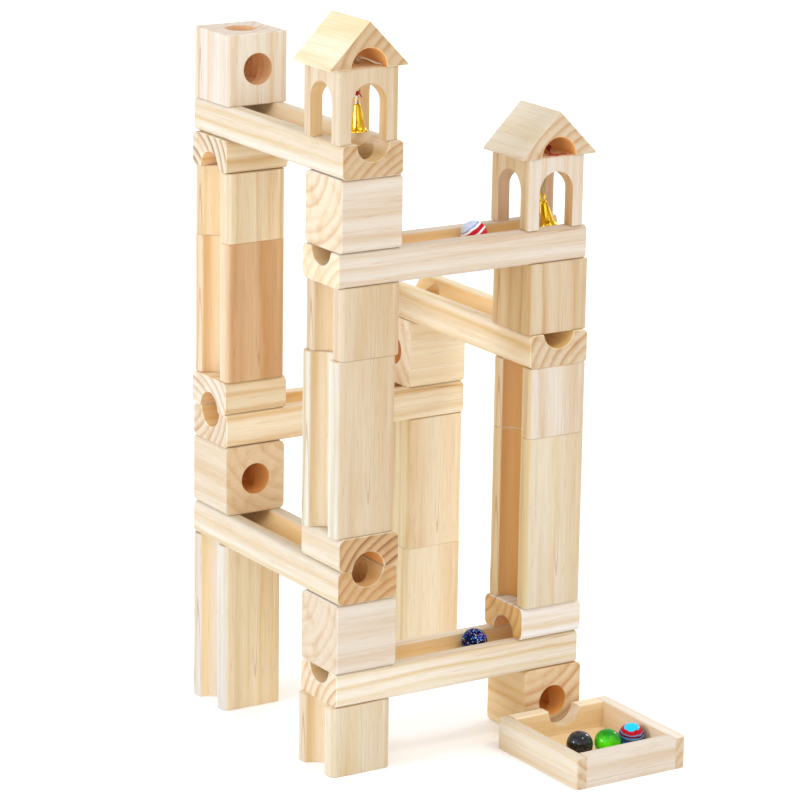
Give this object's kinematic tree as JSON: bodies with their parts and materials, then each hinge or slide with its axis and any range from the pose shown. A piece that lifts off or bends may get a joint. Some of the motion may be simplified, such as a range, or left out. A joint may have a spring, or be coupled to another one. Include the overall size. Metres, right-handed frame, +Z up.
{
  "type": "marble run",
  "caption": "Wooden marble run of stacked blocks: grooved rails descend round a square between towers, past two bell houses, into a tray.",
  "frame": {"origin": "on the floor, under the middle of the box round the whole set", "axes": "+Z up; -Y towards the tray; the marble starts at the -X +Y tower and ends at the +X -Y one"},
  "size_m": [0.1868, 0.244, 0.4192],
  "materials": {
    "rail_pine": "planed, waxed, satin",
    "cube_pine": "planed, waxed, satin",
    "pillar_pine": "planed, waxed, satin",
    "bridge_pine": "planed, waxed, satin",
    "house_pine": "planed, waxed, satin",
    "tray_pine": "planed, waxed, satin",
    "bell_gold": "bright gold plate, polished",
    "pale_thread": "fine twisted thread",
    "olive_thread": "fine twisted thread",
    "red_thread": "fine twisted thread",
    "white_swirl_glass": "glossy, with red bands inside",
    "blue_glitter_glass": "glossy, with flecks inside",
    "black_glass": "glossy",
    "green_glass": "glossy, clear",
    "red_blue_glass": "glossy, opaque bands"
  },
  "bodies": {
    "stack": {"rail_1": "rail_pine", "rail_2": "rail_pine", "rail_3": "rail_pine", "rail_4": "rail_pine", "rail_5": "rail_pine", "rail_6": "rail_pine", "front_upper_elbow_cube": "cube_pine", "right_elbow_cube": "cube_pine", "back_elbow_cube": "cube_pine", "left_elbow_cube": "cube_pine", "front_lower_elbow_cube": "cube_pine", "exit_cube": "cube_pine", "left_base_pillar": "pillar_pine", "left_long_pillar": "pillar_pine", "left_short_pillar": "pillar_pine", "front_base_pillar": "pillar_pine", "front_tall_pillar": "pillar_pine", "front_short_pillar": "pillar_pine", "right_tall_pillar": "pillar_pine", "right_short_pillar": "pillar_pine", "back_lower_pillar": "pillar_pine", "back_upper_pillar": "pillar_pine", "left_upper_bridge_block": "bridge_pine", "left_lower_bridge_block": "bridge_pine", "front_bridge_block": "bridge_pine", "right_bridge_block": "bridge_pine"},
    "start_cube": {"start_cube": "cube_pine"},
    "front_house": {"front_bell_house": "house_pine", "front_bell_knot": "pale_thread"},
    "front_roof": {"front_roof": "house_pine"},
    "front_thread": {"front_bell_thread": "pale_thread"},
    "front_bell": {"front_bell_shell": "bell_gold", "front_bell_eyelet": "bell_gold"},
    "front_clapper": {"front_bell_clapper": "bell_gold"},
    "right_house": {"right_bell_house": "house_pine", "right_bell_knot": "red_thread"},
    "right_roof": {"right_roof": "house_pine"},
    "right_thread": {"right_bell_thread": "olive_thread"},
    "right_bell": {"right_bell_shell": "bell_gold", "right_bell_eyelet": "bell_gold"},
    "right_clapper": {"right_bell_clapper": "bell_gold"},
    "white_swirl_marble": {"white_swirl_marble": "white_swirl_glass"},
    "blue_glitter_marble": {"blue_glitter_marble": "blue_glitter_glass"},
    "tray": {"tray_left_wall": "tray_pine", "tray_right_wall": "tray_pine", "tray_front_wall": "tray_pine", "tray_back_wall": "tray_pine", "tray_base": "tray_pine"},
    "black_marble": {"black_marble": "black_glass"},
    "green_marble": {"green_marble": "green_glass"},
    "red_blue_marble": {"red_blue_marble": "red_blue_glass"}
  },
  "joints": [
    {"name": "start_cube_lift", "type": "slide", "parent": "stack", "child": "start_cube", "axis": [0, 0, 1], "range_m": [0, 0.06]},
    {"name": "front_house_lift", "type": "slide", "parent": "stack", "child": "front_house", "axis": [0, 0, 1], "range_m": [0, 0.05]},
    {"name": "front_roof_lift", "type": "slide", "parent": "front_house", "child": "front_roof", "axis": [0, 0, 1], "range_m": [0, 0.05]},
    {"name": "front_thread_swing", "type": "hinge", "parent": "front_house", "child": "front_thread", "pos_m": [-0.06542, -0.02195, 0.385], "axis": [-1, 0, 0], "range_deg": [-30, 30]},
    {"name": "front_bell_swing", "type": "hinge", "parent": "front_thread", "child": "front_bell", "pos_m": [-0.06542, -0.02195, 0.3752], "axis": [-1, 0, 0], "range_deg": [-30, 20]},
    {"name": "front_clapper_swing", "type": "hinge", "parent": "front_bell", "child": "front_clapper", "pos_m": [-0.06542, -0.02253, 0.37049], "axis": [-1, 0, 0], "range_deg": [-8, 8]},
    {"name": "right_house_lift", "type": "slide", "parent": "stack", "child": "right_house", "axis": [0, 0, 1], "range_m": [0, 0.05]},
    {"name": "right_roof_lift", "type": "slide", "parent": "right_house", "child": "right_roof", "axis": [0, 0, 1], "range_m": [0, 0.05]},
    {"name": "right_thread_swing", "type": "hinge", "parent": "right_house", "child": "right_thread", "pos_m": [0.05938, -0.02195, 0.326], "axis": [0, -1, 0], "range_deg": [-17, 42]},
    {"name": "right_bell_swing", "type": "hinge", "parent": "right_thread", "child": "right_bell", "pos_m": [0.05578, -0.02195, 0.3098], "axis": [0, -1, 0], "range_deg": [-60, 7]},
    {"name": "right_clapper_swing", "type": "hinge", "parent": "right_bell", "child": "right_clapper", "pos_m": [0.05701, -0.02195, 0.30521], "axis": [0, -1, 0], "range_deg": [-8, 8]},
    {"name": "white_swirl_marble_run", "type": "slide", "parent": "stack", "child": "white_swirl_marble", "axis": [1, 0, -0.0094], "range_m": [-0.05, 0.032]},
    {"name": "blue_glitter_marble_run", "type": "slide", "parent": "stack", "child": "blue_glitter_marble", "axis": [1, 0, -0.0094], "range_m": [-0.056, 0.028]},
    {"name": "tray_pull", "type": "slide", "parent": "stack", "child": "tray", "axis": [0, -1, 0], "range_m": [0, 0.06]},
    {"name": "black_marble_roll", "type": "slide", "parent": "tray", "child": "black_marble", "axis": [0, 1, 0], "range_m": [-0.0193, 0.0273]},
    {"name": "green_marble_roll", "type": "slide", "parent": "tray", "child": "green_marble", "axis": [0, 1, 0], "range_m": [-0.0143, 0.0323]},
    {"name": "red_blue_marble_roll", "type": "slide", "parent": "tray", "child": "red_blue_marble", "axis": [0, 1, 0], "range_m": [-0.0153, 0.0313]}
  ]
}
